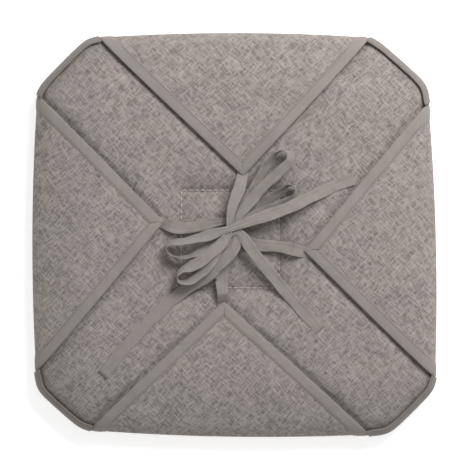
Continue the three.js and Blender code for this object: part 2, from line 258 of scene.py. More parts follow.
def new_object(name, points, faces, flat=None, shade=True):
    """A mesh object at the origin from arrays of points and faces, with the UV map that lays its cloth flat."""
    mesh = bpy.data.meshes.new(name)
    mesh.from_pydata(points.reshape(-1, 3).tolist(), [], faces)
    mesh.update()
    if flat is not None:
        set_flat(mesh, flat)
    mesh.polygons.foreach_set("use_smooth", [shade] * len(mesh.polygons))
    obj = bpy.data.objects.new(name, mesh)
    bpy.context.scene.collection.objects.link(obj)
    return obj


def set_flat(mesh, flat):
    """Write the cloth's flat coordinates, in units of CLOTH_UNIT about 0.5, to the UV map."""
    corner = np.empty(len(mesh.loops), dtype=np.int32)
    mesh.loops.foreach_get("vertex_index", corner)
    layer = mesh.uv_layers.new(name="cloth")
    uv = (flat.reshape(-1, 2) / CLOTH_UNIT + 0.5)[corner]
    layer.data.foreach_set("uv", uv.astype(np.float32).ravel())


CLOTH_UNIT = 0.5


def quads(rows, columns, wrap=False, start=0, flip=False):
    """The faces of a grid of rows by columns, joined across its last column when it wraps."""
    i, j = np.meshgrid(np.arange(rows - 1), np.arange(columns if wrap else columns - 1), indexing="ij")
    k = (j + 1) % columns
    faces = np.stack([i * columns + j, i * columns + k, (i + 1) * columns + k, (i + 1) * columns + j], -1)
    faces = faces.reshape(-1, 4) + start
    return (faces[:, ::-1] if flip else faces).tolist()


def tube(name, rings, flat):
    """A closed skin over rings of points, with a flat cap at each end."""
    count, around = rings.shape[:2]
    faces = quads(count, around, wrap=True)
    faces.append(list(range(around))[::-1])
    faces.append([(count - 1) * around + j for j in range(around)])
    return closed(new_object(name, rings, faces, flat))


def shell(name, upper, lower, flat):
    """A closed sheet between two grids of points, one on each face."""
    rows, columns = upper.shape[:2]
    size = rows * columns
    faces = quads(rows, columns) + quads(rows, columns, start=size, flip=True)
    index = np.arange(size).reshape(rows, columns)
    edge = np.concatenate([index[0, :-1], index[:-1, -1], index[-1, :0:-1], index[:0:-1, 0]])
    after = np.roll(edge, -1)
    faces += np.stack([after, edge, edge + size, after + size], -1).tolist()
    return closed(new_object(name, np.stack([upper, lower]), faces, np.stack([flat, flat])))


def closed(obj):
    """Merge the doubles of a closed piece and turn its faces out."""
    import bmesh
    work = bmesh.new()
    work.from_mesh(obj.data)
    bmesh.ops.remove_doubles(work, verts=work.verts, dist=1e-6)
    bmesh.ops.dissolve_degenerate(work, edges=work.edges, dist=1e-7)
    bmesh.ops.recalc_face_normals(work, faces=work.faces)
    work.to_mesh(obj.data)
    work.free()
    return obj


def finish_piece(obj, material, replaces=()):
    """Give a piece its material and slot, and hide the CAD nodes that it stands for."""
    obj.data.materials.append(material)
    if replaces:
        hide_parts(*replaces)
    return obj


# ---------------------------------------------------------------- materials

def node(tree, kind, inputs=None, **settings):
    """Add a shader node, set its properties, and set or link its inputs."""
    made = tree.nodes.new(kind)
    for name, value in settings.items():
        setattr(made, name, value)
    for name, value in (inputs or {}).items():
        if isinstance(value, bpy.types.NodeSocket):
            tree.links.new(value, made.inputs[name])
        else:
            made.inputs[name].default_value = value
    return made


def maths(tree, operation, *values):
    """The output of a Math node on these values or sockets."""
    made = tree.nodes.new("ShaderNodeMath")
    made.operation = operation
    for socket, value in zip(made.inputs, values):
        if isinstance(value, bpy.types.NodeSocket):
            tree.links.new(value, socket)
        else:
            socket.default_value = value
    return made.outputs[0]


def new_group(name, inputs, outputs):
    """An empty shader node group with these float or vector sockets."""
    tree = bpy.data.node_groups.new(name, "ShaderNodeTree")
    for label, kind, default in inputs:
        socket = tree.interface.new_socket(label, in_out="INPUT", socket_type=kind)
        if default is not None:
            socket.default_value = default
    for label in outputs:
        tree.interface.new_socket(label, in_out="OUTPUT", socket_type="NodeSocketFloat")
    return tree, tree.nodes.new("NodeGroupInput").outputs, tree.nodes.new("NodeGroupOutput").inputs


def yarn_tones(tree, along, across, yarn, length, seed):
    """Thick and thin places in one set of yarns: noise that changes slowly along each yarn, over about the given
    length, and jumps from one yarn to the next."""
    number = maths(tree, "FLOOR", maths(tree, "DIVIDE", across, yarn))
    place = node(tree, "ShaderNodeCombineXYZ", {"X": maths(tree, "DIVIDE", along, length),
                                                "Y": maths(tree, "MULTIPLY_ADD", number, 7.3, seed)})
    noise = node(tree, "ShaderNodeTexNoise", {"Vector": place.outputs[0], "Scale": 1.0, "Detail": 2.0,
                                              "Roughness": 0.55}, noise_dimensions="2D")
    return noise.outputs[0]


def weave_group():
    """Linen weave: two sets of slubby yarns that cross at right angles. Each yarn has its own tones, a checker of the
    two sines says which yarn lies on top, and each yarn's back is the size of its own sine. That back gives the height,
    and in the tone it is painted shade: each yarn lighter on its crown and darker in the hollows beside it."""
    tree, given, out = new_group("Slub weave", [
        ("Vector", "NodeSocketVector", None), ("Yarn", "NodeSocketFloat", 0.001)], ["Tone", "Height"])
    turned = node(tree, "ShaderNodeMapping", {"Vector": given["Vector"], "Rotation": (0, 0, math.pi / 4)})
    place = node(tree, "ShaderNodeSeparateXYZ", {"Vector": turned.outputs[0]})
    step = maths(tree, "DIVIDE", math.pi, given["Yarn"])
    warp = maths(tree, "SINE", maths(tree, "MULTIPLY", place.outputs[0], step))
    weft = maths(tree, "SINE", maths(tree, "MULTIPLY", place.outputs[1], step))
    over = maths(tree, "GREATER_THAN", maths(tree, "MULTIPLY", warp, weft), 0.0)
    crown_shade_and_height = node(tree, "ShaderNodeMix", {0: over, 2: maths(tree, "ABSOLUTE", warp),
                                         3: maths(tree, "ABSOLUTE", weft)}).outputs[0]
    long_way = yarn_tones(tree, place.outputs[0], place.outputs[1], given["Yarn"], 9 * MM, 3.0)
    short_way = yarn_tones(tree, place.outputs[1], place.outputs[0], given["Yarn"], 8 * MM, 8.0)
    shown = node(tree, "ShaderNodeMix", {0: over, 2: short_way, 3: long_way}).outputs[0]
    slubs = maths(tree, "ADD", maths(tree, "MULTIPLY", shown, 0.35),
                  maths(tree, "MULTIPLY", maths(tree, "MAXIMUM", long_way, short_way), 0.65))
    fine = node(tree, "ShaderNodeTexNoise", {"Vector": turned.outputs[0], "Scale": 1100.0, "Detail": 1.0})
    tone = maths(tree, "ADD", maths(tree, "MULTIPLY", slubs, 0.72),
                 maths(tree, "MULTIPLY", fine.outputs[0], 0.10))
    # Painted shade: the yarns' crowns lighter and the hollows between yarns darker.
    tone = maths(tree, "ADD", tone, maths(tree, "MULTIPLY", crown_shade_and_height, 0.20))
    tree.links.new(tone, out["Tone"])
    height = maths(tree, "ADD", maths(tree, "MULTIPLY", crown_shade_and_height, 0.5), maths(tree, "MULTIPLY", slubs, 1.4))
    tree.links.new(height, out["Height"])
    return tree


def woven(name, colour, contrast, yarn, bump, roughness, weave, turn=0.0, stretch=1.0):
    """Cloth that reads its flat coordinates: its colour runs from dark yarns to light ones by the weave's tone, which
    also holds painted shade in the hollows between yarns, with slow uneven patches, and the weave's height is its bump."""
    material = bpy.data.materials.new(name)
    material.use_nodes = True
    tree = material.node_tree
    shader = tree.nodes["Principled BSDF"]
    uv = node(tree, "ShaderNodeUVMap", uv_map="cloth")
    size = CLOTH_UNIT * stretch
    metres = node(tree, "ShaderNodeMapping", {"Vector": uv.outputs[0], "Scale": (size, size, size),
                                              "Rotation": (0, 0, turn)})
    threads = node(tree, "ShaderNodeGroup", {}, node_tree=weave)
    tree.links.new(metres.outputs[0], threads.inputs["Vector"])
    threads.inputs["Yarn"].default_value = yarn
    ramp = node(tree, "ShaderNodeValToRGB", {0: threads.outputs["Tone"]})
    ramp.color_ramp.elements[0].position = 0.43
    ramp.color_ramp.elements[1].position = 0.67
    ramp.color_ramp.elements[0].color = tuple(c * (1 - contrast) for c in colour) + (1,)
    ramp.color_ramp.elements[1].color = tuple(c * (1 + contrast) for c in colour) + (1,)
    patches = node(tree, "ShaderNodeTexNoise", {"Vector": metres.outputs[0], "Scale": 28.0, "Detail": 2.0})
    shade = node(tree, "ShaderNodeMapRange", {"Value": patches.outputs[0], "From Min": 0.3, "From Max": 0.7,
                                              "To Min": 0.955, "To Max": 1.045})
    tint = node(tree, "ShaderNodeVectorMath", {0: ramp.outputs[0]}, operation="SCALE")
    tree.links.new(shade.outputs[0], tint.inputs["Scale"])
    tree.links.new(tint.outputs[0], shader.inputs["Base Color"])
    relief = node(tree, "ShaderNodeBump", {"Height": threads.outputs["Height"], "Strength": bump,
                                           "Distance": 0.0004})
    tree.links.new(relief.outputs[0], shader.inputs["Normal"])
    shader.inputs["Roughness"].default_value = roughness
    shader.inputs["Specular IOR Level"].default_value = 0.25
    shader.inputs["Sheen Weight"].default_value = 0.12
    shader.inputs["Sheen Roughness"].default_value = 0.6
    return material


def thread_material(name, colour):
    """Spun thread: fine noise varies its colour a little."""
    material = bpy.data.materials.new(name)
    material.use_nodes = True
    tree = material.node_tree
    shader = tree.nodes["Principled BSDF"]
    place = node(tree, "ShaderNodeTexCoord")
    noise = node(tree, "ShaderNodeTexNoise", {"Vector": place.outputs["Object"], "Scale": 1800.0})
    ramp = node(tree, "ShaderNodeValToRGB", {0: noise.outputs[0]})
    ramp.color_ramp.elements[0].color = tuple(c * 0.82 for c in colour) + (1,)
    ramp.color_ramp.elements[1].color = tuple(min(c * 1.15, 1) for c in colour) + (1,)
    tree.links.new(ramp.outputs[0], shader.inputs["Base Color"])
    shader.inputs["Roughness"].default_value = 0.7
    return material


def materials():
    """The pad's materials, made once."""
    if "Linen cloth" not in bpy.data.materials:
        look = bpy.context.scene.seat_pad_look
        weave = weave_group()
        woven("Linen cloth", look.cloth_colour, 0.52, 0.82 * MM, 0.5, 0.92, weave)
        woven("Cotton tape", look.tape_colour, 0.07, 0.55 * MM, 0.30, 0.85, weave, turn=math.pi / 4)
        # Painted shade: the corner lips are the same tape, darkened to 0.78 for the shade on their steep sides that
        # face out and down.
        woven("Corner tape, painted shade", tuple(c * 0.78 for c in look.tape_colour), 0.07, 0.55 * MM, 0.30, 0.85, weave,
              turn=math.pi / 4)
        thread_material("Quilting thread", look.thread_colour)
        thread_material("Edge thread", tuple(c * 0.55 for c in look.tape_colour))
    return bpy.data.materials


# ---------------------------------------------------------------- ties

def tape_line(route, steps):
    """A centripetal Catmull-Rom curve through the route's points: each piece is the cubic that has the points' own
    speeds at its two ends. It gives the places, the ways on, and the roll, taken linearly between points."""
    points = np.array(route)[:, :3]
    points = np.vstack([2 * points[0] - points[1], points, 2 * points[-1] - points[-2]])
    gap = np.sqrt(np.linalg.norm(np.diff(points, axis=0), axis=1))[:, None]
    a, b, c, d = points[:-3], points[1:-2], points[2:-1], points[3:]
    before, here, after = gap[:-2], gap[1:-1], gap[2:]
    start = here * ((b - a) / before - (c - a) / (before + here) + (c - b) / here)
    end = here * ((c - b) / here - (d - b) / (here + after) + (d - c) / after)
    t = np.linspace(0, 1, steps, endpoint=False)[None, :, None]
    b, c, start, end = (v[:, None] for v in (b, c, start, end))
    line = (b + start * t + (3 * (c - b) - 2 * start - end) * t**2 + (2 * (b - c) + start + end) * t**3)
    line = np.vstack([line.reshape(-1, 3), c[-1]])
    roll = np.interp(np.arange(len(line)) / steps, np.arange(len(route)), [p[3] for p in route])
    way = np.gradient(line, axis=0)
    way /= np.linalg.norm(way, axis=1, keepdims=True)
    return line, way, np.radians(roll)


def support(x, y, flaps=True):
    """The height of what a tie lies on: the pad's underside, or a flap and its bindings where they cover it."""
    inside = np.full(np.shape(x), -1.0)
    for corner in FLAPS.values() if flaps else ():
        tip, first, second = (np.array(p) * MM for p in corner)
        first, second = first - tip, second - tip
        left = (first[0] * (y - tip[1]) - first[1] * (x - tip[0])) / np.linalg.norm(first)
        right = (second[1] * (x - tip[0]) - second[0] * (y - tip[1])) / np.linalg.norm(second)
        inside = np.maximum(inside, np.minimum(left, right))
    lay = CLOTH_LAY + 4.0 * MM * smooth((inside + 1.5 * MM) / (2 * MM))
    return on_pad(x, y, lay, RELIEF["pad"](x, y))[..., 2]


def tape_rings(route, wide, thick, seed):
    """Rings of the tape's section along its line. The section is a flat rounded bar with a stitched groove beside one
    edge, cupped a little. It gathers in pleats in the knot, and its width is level but for its roll. The tape starts
    under its flap's tip, and its low parts settle on what they lie on."""
    line, way, roll = tape_line(route, 10)
    level = np.cross(way, (0, 0, 1))
    level /= np.linalg.norm(level, axis=1, keepdims=True)
    normal = np.cross(level, way)
    width = np.cos(roll)[:, None] * level + np.sin(roll)[:, None] * normal
    normal = np.cross(width, way)
    length = np.concatenate([[0], np.cumsum(np.linalg.norm(np.diff(line, axis=0), axis=1))])
    turn = np.linspace(0, 2 * math.pi, 48, endpoint=False)
    side = np.sign(np.cos(turn)) * np.abs(np.cos(turn)) ** 0.8
    face = np.sign(np.sin(turn)) * np.abs(np.sin(turn)) ** 0.45
    thickness = thick * (0.75 + 0.5 * smooth((side - 0.42) / 0.14) - 0.5 * np.exp(-((side - 0.40) / 0.07) ** 2))
    in_knot = np.exp(-(np.hypot(line[:, 0] - KNOT[0], line[:, 1] - KNOT[1]) / (15 * MM)) ** 2)
    draw = np.random.default_rng(seed)
    cup = 0.6 * MM * np.sin(length / (34 * MM) * 2 * math.pi + draw.uniform(0, 6)) * (1 - in_knot)
    spread = wide / 2 * (1 - 0.44 * in_knot + 0.05 * np.sin(length / (27 * MM) * 6.28 + draw.uniform(0, 6)))
    pleat = 0.3 * MM * in_knot[:, None] * np.cos(2.5 * math.pi * side)[None, :]
    waves = 0.3 * MM * np.sin(length / (13 * MM) * 2 * math.pi + draw.uniform(0, 6))[:, None] * side[None, :]
    lift = cup[:, None] * (side[None, :] ** 2 - 0.4) + pleat + waves
    rings = (line[:, None] + (spread[:, None] * side[None, :])[..., None] * width[:, None]
             + (lift + (face * thickness / 2)[None, :])[..., None] * normal[:, None])
    clear = (rings[..., 2] - support(rings[..., 0], rings[..., 1])).min(1)
    over_pad = (rings[..., 2] - support(rings[..., 0], rings[..., 1], flaps=False)).min(1)
    tucked = 1 - smooth((length - 4 * MM) / (12 * MM))
    settle = np.clip(clear, -1 * MM, 2.6 * MM) * smooth((41.5 * MM - line[:, 2]) / (2.5 * MM))
    settle = np.convolve(np.pad(settle, 8, mode="edge"), np.ones(17) / 17, mode="valid")
    drop = settle * (1 - tucked) + (over_pad + 0.3 * MM) * tucked
    rings[..., 2] -= drop[:, None]
    line = line - np.outer(drop, (0, 0, 1))
    flat = np.stack(np.broadcast_arrays(length[:, None], side[None, :] * wide / 2), -1)
    return rings, flat, line, float(length[-1])


class SEATPAD_OT_ties(bpy.types.Operator):
    """Make the four tapes that tie the flaps together in a bow"""
    bl_idname = "seat_pad.ties"
    bl_label = "Ties"

    def execute(self, context):
        look = context.scene.seat_pad_look
        for seed, (name, route) in enumerate(TIES.items()):
            rings, flat, line, length = tape_rings(route, look.tape_width, look.tape_thickness, seed + 20)
            obj = tube(f"{name}_tie_tape", rings, flat)
            finish_piece(obj, materials()["Cotton tape"], [f"{name}_tie"])
            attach(obj, f"{name}_flap_body")
        return {"FINISHED"}


# ---------------------------------------------------------------- pad

def pad_grid():
    """The whole pad as one closed skin: rings at growing depth inside the outline, from the middle of the underside,
    over the rim at the seam, to the middle of the seat side."""
    turn = np.linspace(0, 2 * math.pi, 288, endpoint=False)
    flat_part = np.linspace(168 * MM, EDGE_RUN, 60, endpoint=False)
    edge_part = EDGE_RUN * (1 - np.cos(np.linspace(math.pi / 2, 0, 26)))
    depth = np.concatenate([flat_part, edge_part])
    x, y = plan(turn[None, :], depth[:, None])
    upper = on_pad(x, y, CLOTH_LAY, pad_relief(x, y))
    lower = on_pad(x, y, CLOTH_LAY, pad_relief(x, y, lower=True), lower=True)[::-1][1:]
    poles = np.array([[upper[0].mean(0)], [lower[-1].mean(0)]])
    rows = np.concatenate([upper, lower])
    points = np.vstack([rows.reshape(-1, 3), poles.reshape(-1, 3)])
    count, around = rows.shape[:2]
    faces = quads(count, around, wrap=True)
    ring = np.arange(around)
    after = (ring + 1) % around
    faces += np.stack([after, ring, np.full(around, count * around)], -1).tolist()
    last = (count - 1) * around
    faces += np.stack([last + ring, last + after, np.full(around, count * around + 1)], -1).tolist()
    return points, faces


def swell(obj, frames, most_out, most_in):
    """Swell the pad by cloth simulation under pressure, held along its quilting lines and its seam, and cap how far
    each point moves. The pad itself is remeshed, simulated and read back."""
    scene = bpy.context.scene
    bpy.context.view_layer.objects.active = obj
    remesh = obj.modifiers.new("Even mesh", "REMESH")
    remesh.mode = "VOXEL"
    remesh.voxel_size = 4.2 * MM
    bpy.ops.object.modifier_apply(modifier=remesh.name)
    start = read_points(obj.data)
    depth = rim(start[:, 0], start[:, 1])[0]
    quilt = quilt_distance(start[:, 0], start[:, 1])
    held = np.where((quilt < 2.6 * MM) | (depth < 2.5 * MM), 1.0, 0.0)
    group = obj.vertex_groups.new(name="held")
    group.add(np.flatnonzero(held > 0.5).tolist(), 1.0, "REPLACE")
    cloth = obj.modifiers.new("Swelling", "CLOTH")
    cloth.settings.quality = 5
    cloth.settings.mass = 0.3
    cloth.settings.tension_stiffness = 20
    cloth.settings.compression_stiffness = 12
    cloth.settings.shear_stiffness = 6
    cloth.settings.bending_stiffness = 0.6
    cloth.settings.use_pressure = True
    cloth.settings.uniform_pressure_force = 4
    cloth.settings.vertex_group_mass = "held"
    cloth.settings.effector_weights.gravity = 0
    cloth.collision_settings.use_collision = False
    cloth.point_cache.frame_start = 1
    cloth.point_cache.frame_end = frames
    for number in range(1, frames + 1):
        scene.frame_set(number)
    shaped = obj.evaluated_get(bpy.context.evaluated_depsgraph_get())
    moved = read_points(shaped.data) - start
    obj.modifiers.remove(cloth)
    scene.frame_set(1)
    way_out = np.where(start[:, 2] > SEAM, 1.0, -1.0)
    rise = np.clip(moved[:, 2] * way_out, -most_in, most_out) * way_out
    ease = smooth((depth - 2 * MM) / (26 * MM))
    aside = np.clip(moved[:, :2], -1.5 * MM, 1.5 * MM) * ease[:, None]
    result = start + np.column_stack([aside, rise * ease])
    obj.data.vertices.foreach_set("co", result.astype(np.float32).ravel())
    obj.data.update()


def read_points(mesh):
    """A mesh's vertices as an array."""
    points = np.empty(len(mesh.vertices) * 3, dtype=np.float32)
    mesh.vertices.foreach_get("co", points)
    return points.reshape(-1, 3).astype(float)


class ReliefMap:
    """How far the finished underside stands above its plain form, in cells over the plan: the mean of the vertices in
    each cell, spread to empty cells and softened, and read between cells linearly."""

    CELL = 3 * MM
    REACH = 186 * MM

    def __init__(self, points, soften):
        upper = points[points[:, 2] > SEAM + 3 * MM]
        plain = on_pad(upper[:, 0], upper[:, 1], CLOTH_LAY)[:, 2]
        count = int(2 * self.REACH / self.CELL) + 1
        place = np.clip(((upper[:, :2] + self.REACH) / self.CELL).round().astype(int), 0, count - 1)
        cell = place[:, 0] * count + place[:, 1]
        total = np.bincount(cell, upper[:, 2] - plain, count * count).reshape(count, count)
        share = np.bincount(cell, minlength=count * count).reshape(count, count).astype(float)
        for _ in range(soften):
            total = self.blur(total)
            share = self.blur(share)
        self.relief = total / np.maximum(share, 1e-6)
        self.count = count

    @staticmethod
    def blur(grid):
        """Each cell becomes a quarter of each neighbour pair and half of itself, first one way and then the other."""
        padded = np.pad(grid, 1, mode="edge")
        grid = (padded[:-2, 1:-1] + 2 * padded[1:-1, 1:-1] + padded[2:, 1:-1]) / 4
        padded = np.pad(grid, 1, mode="edge")
        return (padded[1:-1, :-2] + 2 * padded[1:-1, 1:-1] + padded[1:-1, 2:]) / 4

    def __call__(self, x, y):
        u = np.clip((x + self.REACH) / self.CELL, 0, self.count - 1.001)
        v = np.clip((y + self.REACH) / self.CELL, 0, self.count - 1.001)
        i, j = u.astype(int), v.astype(int)
        u, v = u - i, v - j
        grid = self.relief
        return ((grid[i, j] * (1 - v) + grid[i, j + 1] * v) * (1 - u)
                + (grid[i + 1, j] * (1 - v) + grid[i + 1, j + 1] * v) * u)


def make_pad():
    """The pad: its closed skin, swollen by simulation, then subdivided once and given its sewn furrows and seam."""
    points, faces = pad_grid()
    obj = closed(new_object("quilted_pad", points, faces))
    swell(obj, 20, SWELL_OUT, SWELL_IN)
    bpy.context.view_layer.objects.active = obj
    finer = obj.modifiers.new("Finer", "SUBSURF")
    finer.levels = finer.render_levels = 1
    bpy.ops.object.modifier_apply(modifier=finer.name)
    points = read_points(obj.data)
    x, y, z = points.T
    depth, nx, ny = rim(x, y)
    furrow = np.exp(-(quilt_distance(x, y) / (2.2 * MM)) ** 2) * np.where(z > SEAM, -1.3, 0.5) * MM
    groove = 2.6 * MM * np.exp(-(flap_distance(x, y) / (2.9 * MM)) ** 2) * smooth((z - SEAM) / (12 * MM))
    seam = 1.1 * MM * np.exp(-((z - SEAM) / (1.6 * MM)) ** 2) * smooth(1 - depth / (8 * MM))
    points = np.column_stack([x - nx * seam, y - ny * seam, np.maximum(z + furrow - groove, 0)])
    obj.data.vertices.foreach_set("co", points.astype(np.float32).ravel())
    obj.data.update()
    set_flat(obj.data, laid_flat(x, y))
    obj.data.polygons.foreach_set("use_smooth", [True] * len(obj.data.polygons))
    return obj


RELIEF = {}


class SEATPAD_OT_pad(bpy.types.Operator):
    """Make the quilted pad: the two cloth faces over their filling"""
    bl_idname = "seat_pad.pad"
    bl_label = "Quilted pad"

    def execute(self, context):
        obj = make_pad()
        points = read_points(obj.data)
        RELIEF["pad"] = ReliefMap(points, 3)
        RELIEF["flap"] = ReliefMap(points, 10)
        finish_piece(obj, materials()["Linen cloth"], ["filling", "underside_panel", "seat_panel"])
        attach(obj, "pad")
        return {"FINISHED"}


# ---------------------------------------------------------------- flaps

def flap_points(name):
    """A flap's tip and the two angles of its ends."""
    tip, first, second = (np.array(p) * MM for p in FLAPS[name])
    return tip, math.atan2(first[1], first[0]), math.atan2(second[1], second[0])


def flap_rows(name, count):
    """Shares of the way from a flap's tip to the pad's edge: even over the flat, and even round the quarter ellipse."""
    tip = flap_points(name)[0]
    high = rim(tip[0], tip[1])[0]
    flat_part = np.linspace(high, EDGE_RUN, count, endpoint=False)
    edge_part = EDGE_RUN * (1 - np.cos(np.linspace(math.pi / 2, 0, count // 2)))
    return 1 - np.concatenate([flat_part, edge_part]) / high


def flap_plan(name, rows, across):
    """A flap's plan: straight lines from its tip to points spread along the pad's edge between its two ends."""
    tip, first, second = flap_points(name)
    if second - first > math.pi:
        second -= 2 * math.pi
    if first - second > math.pi:
        second += 2 * math.pi
    ex, ey = plan(first + (second - first) * across, 0 * across)
    x = tip[0] + rows * (ex - tip[0])
    y = tip[1] + rows * (ey - tip[1])
    return x, y


def flap_surface(x, y, lay, seed):
    """A point on a flap: the pad's surface under it, softened, with small waves of the flap's own cloth. It dips into
    the pad's seam, where it is sewn in."""
    edge = np.exp(-(flap_distance(x, y) / (14 * MM)) ** 2)
    waves = ripple(x, y, 26 * MM, seed) * 0.22 * MM + ripple(x, y, 13 * MM, seed + 50) * 0.2 * MM * edge
    cosine = np.clip(1 - rim(x, y)[0] / EDGE_RUN, 0, 1)
    sewn = 3.0 * MM * np.exp(-(UPPER_RISE / (2.4 * MM)) ** 2 * (1 - cosine**2))
    return on_pad(x, y, lay - sewn, RELIEF["flap"](x, y) + 0.5 * MM + 0.8 * MM * edge + waves)


class SEATPAD_OT_flaps(bpy.types.Operator):
    """Make the four cloth flaps that fold over the underside"""
    bl_idname = "seat_pad.flaps"
    bl_label = "Flaps"

    def execute(self, context):
        for seed, name in enumerate(FLAPS):
            rows = flap_rows(name, 60)[:, None]
            across = np.linspace(0, 1, 90)[None, :]
            x, y = flap_plan(name, rows, across + 0 * rows)
            upper = flap_surface(x, y, FLAP_LAY[1], seed)
            lower = flap_surface(x, y, FLAP_LAY[0], seed)
            obj = shell(f"{name}_flap_cloth", upper, lower, laid_flat(x, y))
            finish_piece(obj, materials()["Linen cloth"], [f"{name}_flap"])
            join_at_edge(obj)
            tip, first, second = (np.array(p) * MM for p in FLAPS[name])
            high = rim(tip[0], tip[1])[0] + 0.172 * EDGE_RUN
        return {"FINISHED"}


def join_at_edge(obj):
    """Bake a piece's transform into its mesh."""
    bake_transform(obj)


# ---------------------------------------------------------------- bindings

def edge_strip(name, side, rows, inward):
    """Points of a strip along one slanting edge of a flap: inward is the distance from the edge, measured square to
    it, and the strip stops at the flap's middle line, where it meets the other one."""
    tip = flap_points(name)[0]
    start = np.zeros_like(rows) if side == 0 else np.ones_like(rows)
    ex, ey = flap_plan(name, rows, start)
    mx, my = flap_plan(name, rows, 0 * rows + 0.5)
    run = np.array([ex[-1].flat[0], ey[-1].flat[0]]) - tip
    run /= np.linalg.norm(run)
    to_middle = np.hypot(mx - ex, my - ey) + 1e-9
    way = np.stack([(mx - ex) / to_middle, (my - ey) / to_middle], -1)
    way[0] = way[1]
    slant = np.abs(way[..., 0] * run[1] - way[..., 1] * run[0])
    step = np.minimum(inward / slant, to_middle)
    return ex + way[..., 0] * step, ey + way[..., 1] * step


def folded_section(wide, low, high, around):
    """A folded tape's section as distance inward and height: a flat loop, round at the fold."""
    turn = np.linspace(0, 2 * math.pi, around, endpoint=False)
    side = np.sign(np.cos(turn)) * np.abs(np.cos(turn)) ** 0.75
    face = np.sign(np.sin(turn)) * np.abs(np.sin(turn)) ** 0.5
    plump = 1 - 0.12 * side - 0.30 * np.exp(-((side - 0.70) / 0.08) ** 2)
    return wide * (1 + side) / 2, (low + high) / 2 + face * plump * (high - low) / 2


class SEATPAD_OT_bindings(bpy.types.Operator):
    """Make the bias tape folded over the flaps' edges, with its stitching"""
    bl_idname = "seat_pad.bindings"
    bl_label = "Flap bindings"

    def execute(self, context):
        look = context.scene.seat_pad_look
        for seed, name in enumerate(FLAPS):
            rows = flap_rows(name, 110)[:, None]
            inward, lay = folded_section(look.binding_width, 1.7 * MM, 4.1 * MM, 28)
            for side in (0, 1):
                wide = rows + 0 * inward[None, :]
                x, y = edge_strip(name, side, wide, inward[None, :] + 0 * rows)
                length = rows * 170 * MM
                pucker = 0.04 * MM * np.sin(length / (9 * MM) * 2 * math.pi + seed)
                rings = flap_surface(x, y, lay[None, :] + pucker * (lay[None, :] > 2.9 * MM), seed)
                flat = np.stack(np.broadcast_arrays(length, inward[None, :]), -1)
                obj = tube(f"{name}_flap_bias_binding_{side + 1}", rings, flat)
                finish_piece(obj, materials()["Cotton tape"], [f"{name}_flap_binding_{side + 1}"])
                join_at_edge(obj)
                self.stitch(name, side, seed, look.binding_width)
        return {"FINISHED"}

    def stitch(self, name, side, seed, wide):
        """The row of stitches that holds a binding, just inside its inner edge."""
        shares = np.linspace(0.06, 0.93, 900)[:, None]
        x, y = edge_strip(name, side, shares, 0 * shares + wide * 0.85)
        line = flap_surface(x, y, 0 * x + 3.72 * MM, seed)[:, 0]
        obj = stitches(f"{name}_flap_edge_stitching_{side + 1}", line, 3.4 * MM, 2.5 * MM, 0.22 * MM)
        finish_piece(obj, materials()["Edge thread"])
        join_at_edge(obj)


def stitches(name, line, pitch, long, radius):
    """Separate stitches along a line: each is a small closed tube that rises from the cloth and dips back into it,
    as half an arch."""
    travel = np.concatenate([[0], np.cumsum(np.linalg.norm(np.diff(line, axis=0), axis=1))])
    count = int(travel[-1] / pitch)
    start = (np.arange(count) + 0.5) * travel[-1] / count
    share = np.linspace(-0.5, 0.5, 7)
    place = start[:, None] + share[None, :] * long
    centre = np.stack([np.interp(place, travel, line[:, axis]) for axis in range(3)], -1)
    way = centre[:, -1] - centre[:, 0]
    way /= np.linalg.norm(way, axis=1, keepdims=True)
    across = np.cross(way, (0, 0, 1))
    across /= np.linalg.norm(across, axis=1, keepdims=True)
    up = np.cross(across, way)
    centre = centre + up[:, None] * (radius * (1 - 7 * share**2) * 1.1)[None, :, None]
    turn = np.linspace(0, 2 * math.pi, 6, endpoint=False)
    thick = radius * np.sqrt(np.clip(1 - (2 * share) ** 4, 0.12, 1))
    ring = (np.cos(turn)[:, None] * across[:, None, None] + np.sin(turn)[:, None] * up[:, None, None])
    points = centre[:, :, None] + thick[None, :, None, None] * ring
    faces = []
    for i in range(count):
        base = i * 42
        faces += quads(7, 6, wrap=True, start=base)
        faces.append([base + j for j in range(6)][::-1])
        faces.append([base + 36 + j for j in range(6)])
    return closed(new_object(name, points, faces))


class SEATPAD_OT_corners(bpy.types.Operator):
    """Make the bound lips that stand round the pad's cut-off corners"""
    bl_idname = "seat_pad.corners"
    bl_label = "Corner bindings"

    def execute(self, context):
        for seed, (name, (before, one, after, other)) in enumerate(CORNER_BETWEEN.items()):
            ends = [np.array(FLAPS[before][2 if before != "top" else 1]) * MM, None]
            first = corner_end(name, before)
            last = corner_end(name, after)
            if last - first > math.pi:
                last -= 2 * math.pi
            if first - last > math.pi:
                last += 2 * math.pi
            share = np.linspace(0, 1, 120)[:, None]
            turn = first + (last - first) * share
            angle = np.linspace(0, 2 * math.pi, 30, endpoint=False)[None, :]
            side = np.sign(np.cos(angle)) * np.abs(np.cos(angle)) ** 0.75
            face = np.sign(np.sin(angle)) * np.abs(np.sin(angle)) ** 0.5
            height = (1 + side) / 2
            rise = np.radians(2 + 25 * height)
            depth = EDGE_RUN * (1 - np.cos(rise))
            near_end = np.exp(-share / 0.06) + np.exp(-(1 - share) / 0.06)
            tuck = 0.5 * MM * np.sin(share * 31 + seed) * (0.25 + near_end) * height
            middle = (2.7 + 1.5 * height + 0.9 * near_end * height) * MM + tuck
            x, y = plan(turn + 0 * depth, depth + 0 * turn)
            plump = 1.15 * MM * (1 - 0.10 * side - 0.25 * np.exp(-((side + 0.6) / 0.1) ** 2))
            rings = on_pad(x, y, middle + face * plump)
            flat = np.stack(np.broadcast_arrays(share * 90 * MM, height * 12 * MM), -1)
            obj = tube(f"corner_bias_binding_{name}", rings, flat)
            # The lips take the tape with painted shade, darkened for their steep, shaded sides.
            finish_piece(obj, materials()["Corner tape, painted shade"], [f"corner_binding_{name}"])
            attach(obj, "pad")
        return {"FINISHED"}


